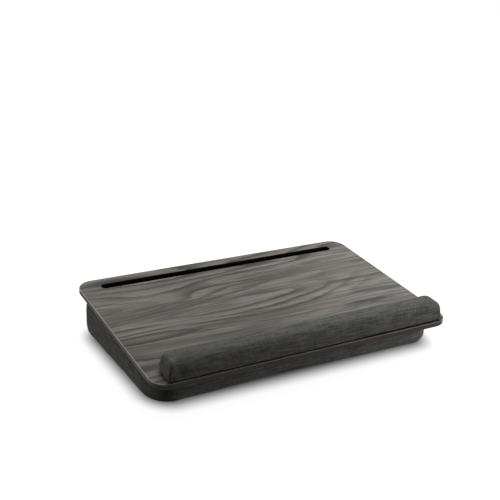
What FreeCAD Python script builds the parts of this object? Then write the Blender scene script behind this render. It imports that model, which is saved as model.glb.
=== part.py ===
import FreeCAD, Part
import os
from math import radians

import Sketcher

# A lap tray: a laminated board with a slot and a padded wrist rest, on a bead-filled wedge cushion
# whose zipped cover is held to the board by hook and loop strips.
# +X runs to the right, +Y to the back, +Z up, with the floor at zero under the middle of the tray.

# Driving sizes in millimetres, and the tilt in degrees
SIZES = {
    "board_width": 550,
    "board_depth": 350,
    "core_thickness": 8,
    "laminate_thickness": 0.5,
    "band_thickness": 1,
    "corner_radius": 28,
    "arris": 0.8,
    "slot_width": 17,
    "slot_margin": 21,
    "slot_end_margin": 37.5,
    "tilt": 6.2,
    "front_height": 52.6,
    "wrist_depth": 50,
    "wrist_height": 31.2,
    "wrist_margin": 1,
    "wrist_end_margin": 19,
    "front_corner": 6,
    "crown_corner": 4,
    "crown_reach": 14,
    "crown_end_reach": 6,
    "crown_rise": 15,
    "tuck_reach": 3,
    "tuck_rise": 6,
    "wrist_cover_thickness": 1.2,
    "wrist_base_thickness": 2,
    "tape_width": 12,
    "tape_thickness": 0.8,
    "tape_margin": 3,
    "cushion_side_margin": 7,
    "cushion_front_margin": 29,
    "cushion_back_margin": 4,
    "cushion_corner": 40,
    "foot_reach": 15,
    "foot_rise": 22,
    "shoulder_reach": 4,
    "shoulder_rise": 22,
    "valley_width": 260,
    "valley_rise": 5,
    "cover_thickness": 1.4,
    "bottom_seam_height": 8,
    "bag_thickness": 0.6,
    "soft_clearance": 0.3,
    "strip_length": 110,
    "strip_width": 25,
    "strip_side_margin": 30,
    "strip_end_margin": 45,
    "hook_thickness": 1.2,
    "loop_thickness": 1.3,
    "zip_end_margin": 78,
    "zip_opening": 10,
    "zip_tape_width": 10.5,
    "zip_tape_thickness": 0.8,
    "chain_width": 4.4,
    "chain_height": 1.6,
    "stop_length": 3,
    "stop_wall": 0.6,
    "slider_length": 11,
    "slider_width": 8.4,
    "slider_wall": 1,
    "slider_clearance": 0.2,
    "bridge_length": 5,
    "bridge_width": 2,
    "bridge_bar": 0.8,
    "pull_length": 24,
    "pull_width": 6,
    "pull_thickness": 1,
}

# Sizes that follow from the driving ones
WORKED = {
    "board_thickness": "Sizes.core_thickness + 2 * Sizes.laminate_thickness",
    "centre_y": "-Worked.board_thickness / 2 * sin(Sizes.tilt)",
    "centre_z": "Sizes.front_height + Sizes.board_depth / 2 * sin(Sizes.tilt)",
    "half_plan": "(Sizes.board_depth * cos(Sizes.tilt) + Worked.board_thickness * sin(Sizes.tilt)) / 2",
    "slot_length": "Sizes.board_width - 2 * Sizes.slot_end_margin",
    "slot_y": "Sizes.board_depth / 2 - Sizes.slot_margin - Sizes.slot_width / 2",
    "wrist_length": "Sizes.board_width - 2 * Sizes.wrist_end_margin",
    "wrist_corner": "Sizes.crown_corner + Sizes.crown_reach",
    "wrist_y": "Sizes.wrist_margin + Sizes.wrist_depth / 2 - Sizes.board_depth / 2",
    "cushion_width": "Sizes.board_width - 2 * Sizes.cushion_side_margin",
    "cushion_depth": "2 * Worked.half_plan - Sizes.cushion_front_margin - Sizes.cushion_back_margin",
    "cushion_y": "(Sizes.cushion_front_margin - Sizes.cushion_back_margin) / 2",
    "cushion_back": "Worked.half_plan - Sizes.cushion_back_margin",
    "cushion_drop": "Worked.board_thickness + Sizes.hook_thickness + Sizes.loop_thickness",
    "cushion_height": "Worked.centre_z + (Worked.cushion_y - Worked.centre_y) * tan(Sizes.tilt)"
                      " - Worked.cushion_drop / cos(Sizes.tilt)",
    "valley_radius": "Sizes.valley_width ^ 2 / (8 * Sizes.valley_rise) + Sizes.valley_rise / 2",
    "bag_side": "Sizes.cover_thickness + Sizes.zip_tape_thickness + 2 * Sizes.soft_clearance",
    "bag_end": "Sizes.cover_thickness + Sizes.soft_clearance",
    "zip_height": "(Worked.cushion_height + Worked.cushion_depth / 2 * tan(Sizes.tilt)) / 2",
    "zip_length": "Worked.cushion_width - 2 * Sizes.zip_end_margin",
    "zip_face": "Worked.cushion_back - Sizes.cover_thickness - Sizes.soft_clearance",
    "chain_length": "Worked.zip_length - 2 * Sizes.stop_length",
    "slider_roof": "Sizes.chain_height + Sizes.slider_clearance + Sizes.slider_wall",
    "eye_height": "Sizes.pull_thickness * sqrt(2) + 2 * Sizes.slider_clearance",
    "pivot_height": "Worked.slider_roof + Worked.eye_height / 2",
    "slider_x": "Worked.chain_length / 2 - Sizes.slider_length / 2 - Sizes.slider_clearance",
    "strip_x": "Worked.cushion_width / 2 - Sizes.strip_side_margin - Sizes.strip_length / 2",
    "strip_y": "Worked.cushion_depth / 2 - Sizes.strip_end_margin - Sizes.strip_width / 2",
}

# Where the rounded edges take their sections, in degrees round a quarter of an ellipse
FOOT_ANGLES = (0, 30, 60, 90)
TUCK_ANGLES = (0, 45, 90)
CROWN_ANGLES = (0, 30, 60, 90)
# Where the shoulder takes its sections, as shares of its rise
SHOULDER_SHARES = (0, 0.5, 1)

X_AXIS = FreeCAD.Vector(1, 0, 0)
Z_AXIS = FreeCAD.Vector(0, 0, 1)
# The sketcher's numbers for the points of a curve
START, END, CENTRE = range(1, 4)
# An edge that rises less than this is level
LEVEL = 0.01

doc = FreeCAD.newDocument("lap_tray")
sheet = doc.addObject("Spreadsheet::Sheet", "Sizes")
for row, (alias, value) in enumerate(SIZES.items(), 1):
    sheet.set(f"A{row}", alias)
    sheet.set(f"B{row}", str(value))
    sheet.setAlias(f"B{row}", alias)
doc.recompute()

worked = doc.addObject("App::VarSet", "Worked")
for name, expression in WORKED.items():
    worked.addProperty("App::PropertyFloat", name, "Worked")
    worked.setExpression(name, expression)
    doc.recompute()

nodes = []


def number(expression):
    """The present value of an expression over the sizes."""
    value = sheet.evalExpression(expression)
    return value.Value if hasattr(value, "Value") else float(value)


def bind(thing, **expressions):
    """Ties properties of a thing to expressions; a double underscore stands for a dot."""
    for path, expression in expressions.items():
        thing.setExpression(path.replace("__", "."), expression)


def new_body(label):
    body = doc.addObject("PartDesign::Body", label)
    body.Label = label
    body.AllowCompound = True
    return body


def lay_on_board(body):
    """Puts a body in the board's tilted frame, whose origin is the middle of its top face."""
    body.Placement = FreeCAD.Placement(FreeCAD.Vector(), FreeCAD.Rotation(X_AXIS, number("Sizes.tilt")))
    bind(body, Placement__Rotation__Angle="Sizes.tilt",
         Placement__Base__y="Worked.centre_y", Placement__Base__z="Worked.centre_z")
    return body


def lay_on_zip(body):
    """Puts a body on the outer face of the zip tapes: X along the zip, Y up, Z out to the back."""
    upright = FreeCAD.Rotation(FreeCAD.Vector(-1, 0, 0), Z_AXIS, FreeCAD.Vector(0, 1, 0), "ZXY")
    body.Placement = FreeCAD.Placement(FreeCAD.Vector(), upright)
    bind(body, Placement__Base__y="Worked.zip_face", Placement__Base__z="Worked.zip_height")
    return body


def origin_plane(body, role):
    return next(plane for plane in body.Origin.OriginFeatures if plane.Role == role)


def new_sketch(body, name, x="0", y="0", level="0", slope=None, role="XY_Plane"):
    """An empty sketch on a plane of its body's origin, shifted, raised and tipped about X."""
    sketch = body.newObject("Sketcher::SketchObject", name)
    sketch.AttachmentSupport = (origin_plane(body, role), [""])
    sketch.MapMode = "FlatFace"
    if slope:
        tipped = FreeCAD.Rotation(X_AXIS, number(slope))
        sketch.AttachmentOffset = FreeCAD.Placement(FreeCAD.Vector(), tipped)
        bind(sketch, AttachmentOffset__Rotation__Angle=slope)
    bind(sketch, AttachmentOffset__Base__x=x, AttachmentOffset__Base__y=y, AttachmentOffset__Base__z=level)
    return sketch


def dimension(sketch, name, expression, kind, *where):
    """Adds a named dimension to a sketch and ties it to an expression."""
    index = sketch.addConstraint(Sketcher.Constraint(kind, *where, number(expression)))
    sketch.renameConstraint(index, name)
    sketch.setExpression(f"Constraints.{name}", expression)


def about_origin(sketch, kind, *points):
    """Holds points of a sketch to its origin, which is the start of its item -1."""
    sketch.addConstraint(Sketcher.Constraint(kind, *points, -1, START))


def rounded_outline(body, name, width, depth, radius, front_radius=None, **place):
    """A rectangle with round corners about its sketch's origin, whose front corners may differ."""
    sketch = new_sketch(body, name, **place)
    front_radius = front_radius or radius
    corners = [(1, 1, radius), (-1, 1, radius), (-1, -1, front_radius), (1, -1, front_radius)]
    arcs = []
    for turn, (side_x, side_y, bend) in enumerate(corners):
        r = number(bend)
        middle = FreeCAD.Vector(side_x * (number(width) / 2 - r), side_y * (number(depth) / 2 - r), 0)
        circle = Part.Circle(middle, Z_AXIS, r)
        arcs.append(Part.ArcOfCircle(circle, radians(90 * turn), radians(90 * turn + 90)))
    lines = [Part.LineSegment(arcs[k].EndPoint, arcs[(k + 1) % 4].StartPoint) for k in range(4)]
    sketch.addGeometry(arcs + lines)
    for k in range(4):
        sketch.addConstraint(Sketcher.Constraint("Tangent", k, END, 4 + k, START))
        sketch.addConstraint(Sketcher.Constraint("Tangent", 4 + k, END, (k + 1) % 4, START))
        sketch.addConstraint(Sketcher.Constraint("Vertical" if k % 2 else "Horizontal", 4 + k))
    sketch.addConstraint(Sketcher.Constraint("Equal", 0, 1))
    sketch.addConstraint(Sketcher.Constraint("Equal", 2, 3))
    dimension(sketch, "back_corner", radius, "Radius", 0)
    dimension(sketch, "front_corner", front_radius, "Radius", 2)
    dimension(sketch, "back_x", f"({width}) / 2 - ({radius})", "DistanceX", -1, START, 0, CENTRE)
    dimension(sketch, "back_y", f"({depth}) / 2 - ({radius})", "DistanceY", -1, START, 0, CENTRE)
    dimension(sketch, "front_x", f"({width}) / 2 - ({front_radius})", "DistanceX", 2, CENTRE, -1, START)
    dimension(sketch, "front_y", f"({depth}) / 2 - ({front_radius})", "DistanceY", 2, CENTRE, -1, START)
    return sketch


def rectangle(body, name, width, depth, **place):
    """A plain rectangle about its sketch's origin."""
    sketch = new_sketch(body, name, **place)
    half_x = number(width) / 2
    half_y = number(depth) / 2
    corners = [FreeCAD.Vector(x * half_x, y * half_y, 0) for x, y in ((1, 1), (-1, 1), (-1, -1), (1, -1))]
    sketch.addGeometry([Part.LineSegment(corners[k], corners[(k + 1) % 4]) for k in range(4)])
    for k in range(4):
        sketch.addConstraint(Sketcher.Constraint("Coincident", k, END, (k + 1) % 4, START))
        sketch.addConstraint(Sketcher.Constraint("Vertical" if k % 2 else "Horizontal", k))
    about_origin(sketch, "Symmetric", 0, START, 2, START)
    dimension(sketch, "span_x", width, "DistanceX", 2, START, 0, START)
    dimension(sketch, "span_y", depth, "DistanceY", 2, START, 0, START)
    return sketch


def slot_outline(body, name, length, width, **place):
    """A long hole with half-round ends about its sketch's origin."""
    sketch = new_sketch(body, name, **place)
    r = number(width) / 2
    reach = number(length) / 2 - r
    arcs = []
    for side, first in ((1, -90), (-1, 90)):
        circle = Part.Circle(FreeCAD.Vector(side * reach, 0, 0), Z_AXIS, r)
        arcs.append(Part.ArcOfCircle(circle, radians(first), radians(first + 180)))
    lines = [Part.LineSegment(arcs[k].EndPoint, arcs[1 - k].StartPoint) for k in range(2)]
    sketch.addGeometry(arcs + lines)
    for k in range(2):
        sketch.addConstraint(Sketcher.Constraint("Tangent", k, END, 2 + k, START))
        sketch.addConstraint(Sketcher.Constraint("Tangent", 2 + k, END, 1 - k, START))
    sketch.addConstraint(Sketcher.Constraint("Horizontal", 2))
    about_origin(sketch, "Symmetric", 0, CENTRE, 1, CENTRE)
    dimension(sketch, "end_radius", f"{width} / 2", "Radius", 0)
    dimension(sketch, "span", f"{length} - {width}", "DistanceX", 1, CENTRE, 0, CENTRE)
    return sketch


def pad(body, sketch, length):
    feature = body.newObject("PartDesign::Pad", f"{sketch.Name}_pad")
    feature.Profile = sketch
    bind(feature, Length=length)
    doc.recompute()
    return feature


def pocket_through(body, sketch):
    """Cuts a sketch right through its body, both ways, and checks that something went."""
    before = body.Shape.Volume
    feature = body.newObject("PartDesign::Pocket", f"{sketch.Name}_cut")
    feature.Profile = sketch
    feature.Type = "ThroughAll"
    feature.Midplane = True
    doc.recompute()
    if body.Shape.Volume >= before:
        raise RuntimeError(f"{sketch.Name} cuts nothing")
    return feature


def loft(body, sections):
    feature = body.newObject("PartDesign::AdditiveLoft", f"{body.Name}_loft")
    feature.Profile = sections[0]
    feature.Sections = sections[1:]
    doc.recompute()
    return feature


def combine(kind, label, base, tool):
    """A cut, common part or fusion of two objects."""
    result = doc.addObject(f"Part::{kind}", label)
    result.Label = label
    result.Base = base
    result.Tool = tool
    doc.recompute()
    return result


def keep(thing):
    """Marks an object as a piece of the tray."""
    nodes.append(thing)
    return thing


# The board: a fibreboard core between two laminate sheets, with an edge band round all three
def board_layer(label, thickness, level):
    """One sheet of the board inside the edge band, with its share of the slot."""
    body = lay_on_board(new_body(label))
    inner = "2 * Sizes.band_thickness"
    outline = rounded_outline(body, f"{label}_outline", f"Sizes.board_width - {inner}",
                              f"Sizes.board_depth - {inner}",
                              "Sizes.corner_radius - Sizes.band_thickness", level=level)
    pad(body, outline, thickness)
    slot = slot_outline(body, f"{label}_slot", "Worked.slot_length", "Sizes.slot_width", y="Worked.slot_y")
    pocket_through(body, slot)
    return keep(body)


def edge_band():
    """The tape round the board's edge, with a small bevel above and below."""
    body = lay_on_board(new_body("edge_band"))
    outer = rounded_outline(body, "band_outer", "Sizes.board_width", "Sizes.board_depth",
                            "Sizes.corner_radius", level="-Worked.board_thickness")
    slab = pad(body, outer, "Worked.board_thickness")
    rims = [f"Edge{k}" for k, edge in enumerate(slab.Shape.Edges, 1) if edge.BoundBox.ZLength < LEVEL]
    bevel = body.newObject("PartDesign::Chamfer", "band_bevel")
    bevel.Base = (slab, rims)
    bind(bevel, Size="Sizes.arris")
    doc.recompute()
    inner = rounded_outline(body, "band_inner", "Sizes.board_width - 2 * Sizes.band_thickness",
                            "Sizes.board_depth - 2 * Sizes.band_thickness",
                            "Sizes.corner_radius - Sizes.band_thickness")
    pocket_through(body, inner)
    return keep(body)


board_layer("top_laminate", "Sizes.laminate_thickness", "-Sizes.laminate_thickness")
board_layer("board_core", "Sizes.core_thickness", "-Sizes.laminate_thickness - Sizes.core_thickness")
board_layer("bottom_laminate", "Sizes.laminate_thickness", "-Worked.board_thickness")
edge_band()


# The wrist rest: foam on a stiff base in a fabric cover, stuck to the board with two tapes
def wrist_form(label, side, floor, roof):
    """The rest's rounded loaf, drawn in by a skin at the sides, floor and roof."""
    body = lay_on_board(new_body(label))
    rise = f"(Sizes.wrist_height - {floor} - {roof}) / Sizes.wrist_height"
    rounds = [(f"Sizes.tuck_rise * (1 - cos({angle}))", f"Sizes.tuck_reach * (1 - sin({angle}))",
               f"Sizes.tuck_reach * (1 - sin({angle}))") for angle in TUCK_ANGLES]
    rounds += [(f"(Sizes.wrist_height - Sizes.crown_rise * (1 - sin({angle})))",
                f"Sizes.crown_reach * (1 - cos({angle}))",
                f"Sizes.crown_end_reach * (1 - cos({angle}))") for angle in CROWN_ANGLES]
    sections = []
    for k, (height, inset, end_inset) in enumerate(rounds):
        drawn = f"({inset} + {side})"
        sections.append(rounded_outline(
            body, f"{label}_section_{k}", f"Worked.wrist_length - 2 * ({end_inset} + {side})",
            f"Sizes.wrist_depth - 2 * {drawn}", f"Worked.wrist_corner - {drawn}",
            front_radius=f"Sizes.front_corner * (1 - {drawn} / Worked.wrist_corner)",
            y="Worked.wrist_y", level=f"Sizes.tape_thickness + {floor} + {height} * {rise}"))
    loft(body, sections)
    return body


def wrist_rest():
    hem = "(Sizes.tuck_reach + Sizes.wrist_cover_thickness)"
    inner = "Sizes.wrist_cover_thickness"
    cavity = wrist_form("wrist_cavity", inner, "0", inner)
    keep(combine("Cut", "wrist_rest_cover", wrist_form("wrist_outside", "0", "0", "0"), cavity))
    padding = "(Sizes.wrist_cover_thickness + Sizes.soft_clearance)"
    keep(wrist_form("wrist_rest_foam", padding, "Sizes.wrist_base_thickness", padding))

    base = lay_on_board(keep(new_body("wrist_rest_base")))
    outline = rounded_outline(base, "wrist_base_outline", f"Worked.wrist_length - 2 * {hem}",
                              f"Sizes.wrist_depth - 2 * {hem}", f"Worked.wrist_corner - {hem}",
                              y="Worked.wrist_y", level="Sizes.tape_thickness")
    pad(base, outline, "Sizes.wrist_base_thickness")

    tapes = lay_on_board(keep(new_body("wrist_rest_tapes")))
    reach = f"(Sizes.wrist_depth / 2 - {hem} - Sizes.tape_margin - Sizes.tape_width / 2)"
    for name, side in (("front", "-"), ("back", "+")):
        strip = rectangle(tapes, f"wrist_tape_{name}",
                          f"Worked.wrist_length - 2 * ({hem} + Worked.wrist_corner)", "Sizes.tape_width",
                          y=f"Worked.wrist_y {side} {reach}")
        pad(tapes, strip, "Sizes.tape_thickness")


wrist_rest()


# Hook strips under the board and loop strips on the cushion, one pair near each corner
def fastener_strips(label, thickness, level):
    body = lay_on_board(keep(new_body(label)))
    for name, side_x, side_y in (("fl", "-", "-"), ("fr", "", "-"), ("bl", "-", ""), ("br", "", "")):
        strip = rectangle(body, f"{label}_{name}", "Sizes.strip_length", "Sizes.strip_width",
                          x=f"{side_x}Worked.strip_x", y=f"Worked.cushion_y + {side_y}Worked.strip_y",
                          level=level)
        pad(body, strip, thickness)


fastener_strips("hook_strips", "Sizes.hook_thickness", "-Worked.board_thickness - Sizes.hook_thickness")
fastener_strips("loop_strips", "Sizes.loop_thickness", "-Worked.cushion_drop")


# The cushion: a wedge with rolled feet, drawn-in shoulders and a shallow valley along its underside
def cushion_form(label, side, end):
    """The wedge, drawn in by one skin at its sides and another at its floor and top."""
    body = new_body(label)
    height = f"(Worked.cushion_height - {end} - {end} / cos(Sizes.tilt))"
    rounds = [(f"Sizes.foot_rise * (1 - cos({angle}))", f"Sizes.foot_reach * (1 - sin({angle}))")
              for angle in FOOT_ANGLES]
    rounds += [(f"(Worked.cushion_height - Sizes.shoulder_rise * (1 - {share}))",
                f"Sizes.shoulder_reach * {share} ^ 2") for share in SHOULDER_SHARES]
    sections = []
    for k, (level, inset) in enumerate(rounds):
        share = f"({level} / Worked.cushion_height)"
        slope = f"atan({share} * tan(Sizes.tilt))"
        drawn = f"({inset} + {side})"
        sections.append(rounded_outline(
            body, f"{label}_section_{k}", f"Worked.cushion_width - 2 * {drawn}",
            f"(Worked.cushion_depth - 2 * {drawn}) / cos({slope})", f"Sizes.cushion_corner - {drawn}",
            y="Worked.cushion_y", level=f"{end} + {share} * {height}", slope=slope if k else None))
    loft(body, sections)
    valley = new_sketch(body, f"{label}_valley", role="XZ_Plane",
                        y="Sizes.valley_rise - Worked.valley_radius")
    arch = f"Worked.valley_radius + {end}"
    valley.addGeometry(Part.Circle(FreeCAD.Vector(), Z_AXIS, number(arch)))
    about_origin(valley, "Coincident", 0, CENTRE)
    dimension(valley, "arch", arch, "Radius", 0)
    pocket_through(body, valley)
    return body


def block(label, width, depth, height, y, z):
    """A plain block, centred on X and Y, for cutting the cover into its panels."""
    box = doc.addObject("Part::Box", label)
    bind(box, Length=width, Width=depth, Height=height, Placement__Base__x=f"-({width}) / 2",
         Placement__Base__y=f"{y} - ({depth}) / 2", Placement__Base__z=z)
    return box


def cushion():
    skin = combine("Cut", "cushion_skin", cushion_form("cushion_outside", "0", "0"),
                   cushion_form("cushion_cavity", "Sizes.cover_thickness", "Sizes.cover_thickness"))
    below = block("below_bottom_seam", "Worked.cushion_width", "Sizes.board_depth",
                  "Sizes.bottom_seam_height", "0", "0")
    above = lay_on_board(new_body("above_top_seam"))
    pad(above, rectangle(above, "top_seam_outline", "Sizes.board_width", "2 * Sizes.board_depth",
                         level="-Worked.cushion_drop - Sizes.cover_thickness"), "Worked.cushion_drop")
    keep(combine("Common", "cushion_bottom_panel", skin, below))
    keep(combine("Common", "cushion_top_panel", skin, above))
    wall = combine("Cut", "cushion_wall", combine("Cut", "cushion_upper_skin", skin, below), above)
    window = block("zip_window", "Worked.zip_length", "2 * Worked.bag_side", "Sizes.zip_opening",
                   "Worked.cushion_back", "Worked.zip_height - Sizes.zip_opening / 2")
    keep(combine("Cut", "cushion_side_band", wall, window))

    bag_inner = "Sizes.bag_thickness"
    keep(combine("Cut", "inner_bag", cushion_form("bag_outside", "Worked.bag_side", "Worked.bag_end"),
                 cushion_form("bag_cavity", f"(Worked.bag_side + {bag_inner})",
                              f"(Worked.bag_end + {bag_inner})")))
    fill = f"({bag_inner} + Sizes.soft_clearance)"
    keep(cushion_form("bead_fill", f"(Worked.bag_side + {fill})", f"(Worked.bag_end + {fill})"))


cushion()


# The zip in the back of the cushion's side band
def zip_tape(label, level):
    """One woven tape, behind the edge of the band's window."""
    tape = keep(doc.addObject("Part::Box", label))
    tape.Label = label
    bind(tape, Length="Worked.zip_length", Width="Sizes.zip_tape_thickness", Height="Sizes.zip_tape_width",
         Placement__Base__x="-Worked.zip_length / 2",
         Placement__Base__y="Worked.zip_face - Sizes.zip_tape_thickness", Placement__Base__z=level)


def zip_chain():
    """The closed teeth, as one bar with rounded outer edges."""
    body = lay_on_zip(keep(new_body("zip_chain")))
    bar = pad(body, rectangle(body, "chain_outline", "Worked.chain_length", "Sizes.chain_width"),
              "Sizes.chain_height")
    long_edges = [f"Edge{k}" for k, edge in enumerate(bar.Shape.Edges, 1)
                  if edge.BoundBox.XLength > bar.Shape.BoundBox.YLength
                  and edge.BoundBox.ZMin > LEVEL]
    rounding = body.newObject("PartDesign::Fillet", "chain_rounding")
    rounding.Base = (bar, long_edges)
    bind(rounding, Radius="Sizes.chain_height / 2")
    doc.recompute()


def zip_stops():
    """A crimp over each end of the chain, as tall as the chain and one wall more."""
    body = lay_on_zip(keep(new_body("zip_stops")))
    for name, side in (("start", "-"), ("end", "")):
        reach = "(Worked.zip_length - Sizes.stop_length) / 2"
        crimp = rectangle(body, f"stop_{name}", "Sizes.stop_length",
                          "Sizes.chain_width + 2 * Sizes.stop_wall", x=f"{side}{reach}")
        pad(body, crimp, "Sizes.chain_height + Sizes.stop_wall")


def zip_slider():
    """The slider's outer half: a roof over the chain with a bridge that holds the pull."""
    body = lay_on_zip(keep(new_body("zip_slider")))
    roof = rounded_outline(body, "slider_outline", "Sizes.slider_length", "Sizes.slider_width",
                           "Sizes.slider_width / 4", x="-Worked.slider_x", level="Sizes.slider_clearance")
    pad(body, roof, "Worked.slider_roof - Sizes.slider_clearance")
    channel_height = "2 * (Sizes.chain_height + Sizes.slider_clearance)"
    channel = rectangle(body, "slider_channel", "Sizes.chain_width + 2 * Sizes.slider_clearance",
                        channel_height, role="YZ_Plane")
    pocket_through(body, channel)
    bridge = rectangle(body, "bridge_outline", "Sizes.bridge_length", "Sizes.bridge_width",
                       x="-Worked.slider_x", level="Worked.slider_roof")
    pad(body, bridge, "Worked.eye_height + Sizes.bridge_bar")
    eye = rectangle(body, "bridge_eye", "Sizes.bridge_length - 2 * Sizes.bridge_bar", "Worked.eye_height",
                    x="-Worked.slider_x", y="Worked.pivot_height", role="XZ_Plane")
    pocket_through(body, eye)


def zip_pull():
    """The pull tab, whose end bar lies in the bridge's eye and whose arms pass either side of it."""
    body = lay_on_zip(keep(new_body("zip_pull")))
    bar_end = "Sizes.pull_thickness / 2"
    tab_x = f"-Worked.slider_x + Sizes.pull_length / 2 - {bar_end}"
    floor = "Worked.pivot_height - Sizes.pull_thickness / 2"
    tab = rounded_outline(body, "pull_outline", "Sizes.pull_length", "Sizes.pull_width",
                          "Sizes.pull_width / 3", x=tab_x, level=floor)
    pad(body, tab, "Sizes.pull_thickness")
    window_length = "(Sizes.bridge_length + Sizes.bridge_bar)"
    window = rectangle(body, "pull_window", window_length,
                       "Sizes.bridge_width + 2 * Sizes.slider_clearance",
                       x=f"-Worked.slider_x + {bar_end} + {window_length} / 2")
    pocket_through(body, window)


zip_tape("zip_tape_upper", "Worked.zip_height")
zip_tape("zip_tape_lower", "Worked.zip_height - Sizes.zip_tape_width")
zip_chain()
zip_stops()
zip_slider()
zip_pull()

doc.recompute()
failed = [thing.Name for thing in doc.Objects if {"Invalid", "Error"} & set(thing.State)]
failed += [piece.Label for piece in nodes if piece.Shape.isNull() or not piece.Shape.isValid()]
if failed:
    raise RuntimeError(f"not built: {failed}")

os.makedirs("parts", exist_ok=True)
for piece in nodes:
    piece.Shape.exportStep(f"parts/{piece.Label}.step")
    box = piece.Shape.BoundBox
    print(f"{piece.Label}: {len(piece.Shape.Solids)} solid(s), {piece.Shape.Volume / 1000:.2f} cm3, "
          f"{box.XLength:.1f} x {box.YLength:.1f} x {box.ZLength:.1f} mm, z from {box.ZMin:.2f}")
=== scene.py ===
# %% [markdown]
# # A lap tray on its cushion
# The tray is a laminated board with a long slot, a padded wrist rest along its front edge and a wedge
# cushion underneath, whose cover closes with a zip at the back.
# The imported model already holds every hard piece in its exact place. This file keeps those pieces, and
# adds what hard modelling can't give: soft padding, cloth, thread, zip teeth and the finishes.

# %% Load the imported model
import math

import bmesh
import bpy
import numpy as np
from mathutils import Matrix, Vector
from mathutils.bvhtree import BVHTree


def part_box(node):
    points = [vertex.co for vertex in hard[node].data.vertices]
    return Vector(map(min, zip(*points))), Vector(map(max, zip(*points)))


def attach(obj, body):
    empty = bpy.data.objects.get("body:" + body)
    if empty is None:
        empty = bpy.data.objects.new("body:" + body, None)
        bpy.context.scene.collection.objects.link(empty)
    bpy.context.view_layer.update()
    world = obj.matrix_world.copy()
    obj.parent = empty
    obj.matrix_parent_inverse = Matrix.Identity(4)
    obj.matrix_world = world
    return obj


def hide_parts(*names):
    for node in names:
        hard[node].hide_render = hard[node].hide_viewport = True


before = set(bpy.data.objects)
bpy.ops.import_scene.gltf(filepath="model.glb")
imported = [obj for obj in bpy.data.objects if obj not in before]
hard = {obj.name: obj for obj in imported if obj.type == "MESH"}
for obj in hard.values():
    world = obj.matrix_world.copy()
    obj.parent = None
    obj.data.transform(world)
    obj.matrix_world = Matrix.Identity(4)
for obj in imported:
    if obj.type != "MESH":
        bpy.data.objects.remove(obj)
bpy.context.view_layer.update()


# %% [markdown]
# ## The camera
# A product picture is taken with a long lens from above the front left corner.
# Such a camera could be aimed with a tracking constraint. Here its place and two of its axes are written
# down instead, because they were solved from the board's straight edges and include a slight roll.

# %% Camera
CAMERA_PLACE = (-0.7268, -1.2258, 0.6677)
CAMERA_RIGHT = (0.8718, -0.4893, 0.0237)
CAMERA_BACK = (-0.4684, -0.8184, 0.3331)
LENS = 64.22
camera_back = Vector(CAMERA_BACK).normalized()
camera_up = camera_back.cross(Vector(CAMERA_RIGHT).normalized()).normalized()
camera_turn = Matrix((camera_up.cross(camera_back), camera_up, camera_back)).transposed()
camera_data = bpy.data.cameras.new("camera")
camera_data.sensor_width = 36
camera_data.lens = LENS
camera = bpy.data.objects.new("camera", camera_data)
camera.matrix_world = Matrix.Translation(CAMERA_PLACE) @ camera_turn.to_4x4()
scene = bpy.context.scene
scene.collection.objects.link(camera)
scene.camera = camera
print("camera at", [round(v, 3) for v in camera.location])

# %% [markdown]
# ## Small helpers for finishes
# Every finish is a tree of shader nodes. Writing each node out takes four lines, so one helper makes a
# node, sets its options and fills its inputs, by name or by number, with a value or with another node's
# output. The others give short names to the sums, noises and blends that the finishes share.
# Values that are the same all over a surface go straight onto the shader.

# %% Helpers that build node trees
def new_finish(name, **shader_values):
    """A material, its node tree and its main shader with the constant values set."""
    material = bpy.data.materials.new(name)
    material.use_nodes = True
    shader = material.node_tree.nodes["Principled BSDF"]
    for key, value in shader_values.items():
        shader.inputs[key.replace("_", " ").title().replace("Ior", "IOR")].default_value = value
    return material, material.node_tree, shader


def add(tree, kind, options=None, inputs=None):
    """A new node with its options set and its inputs filled or linked."""
    made = tree.nodes.new(kind)
    for key, value in (options or {}).items():
        setattr(made, key, value)
    for key, value in (inputs or {}).items():
        if isinstance(value, bpy.types.NodeSocket):
            tree.links.new(value, made.inputs[key])
        else:
            made.inputs[key].default_value = value
    return made


def math_of(tree, operation, *values):
    """The result of one sum."""
    return add(tree, "ShaderNodeMath", {"operation": operation}, dict(enumerate(values))).outputs[0]


def in_shares(tree, first, first_share, second, second_share):
    """Two values added up, each in its own share."""
    return math_of(tree, "MULTIPLY_ADD", first, first_share, math_of(tree, "MULTIPLY", second, second_share))


def vector_of(tree, operation, *values):
    """The result of one sum of vectors, which is a single number for a length or a dot product."""
    made = add(tree, "ShaderNodeVectorMath", {"operation": operation}, dict(enumerate(values)))
    return made.outputs["Value" if operation in ("LENGTH", "DOT_PRODUCT") else "Vector"]


print("node helpers:", [helper.__name__ for helper in (new_finish, add, math_of, in_shares, vector_of)])

# %% Helpers for patterns and colours
def place_of(tree):
    """The object's own coordinates, in metres."""
    return add(tree, "ShaderNodeTexCoord").outputs["Object"]


def stretched(tree, source, scale, turned=(0, 0, 0), moved=(0, 0, 0)):
    """A coordinate that is scaled, turned and moved."""
    values = {"Vector": source, "Scale": scale, "Rotation": turned, "Location": moved}
    return add(tree, "ShaderNodeMapping", None, values).outputs[0]


def noise(tree, source, scale, detail=3.0, rough=0.55):
    """A cloudy value between about 0.25 and 0.75."""
    values = {"Vector": source, "Scale": scale, "Detail": detail, "Roughness": rough}
    return add(tree, "ShaderNodeTexNoise", None, values).outputs[0]


def streaks(tree, source, scale, detail=3.0, rough=0.55, moved=(0, 0, 0)):
    """The same, with its own number of waves in a metre along each axis."""
    return noise(tree, stretched(tree, source, scale, moved=moved), 1.0, detail, rough)


def waves(tree, source, direction, pitch):
    """Even waves, one in each pitch along X or Y: at a scale of one the texture makes 20 in 2 pi metres."""
    values = {"Vector": source, "Scale": 2 * math.pi / 20 / pitch}
    return add(tree, "ShaderNodeTexWave", {"bands_direction": direction}, values).outputs[1]


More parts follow.
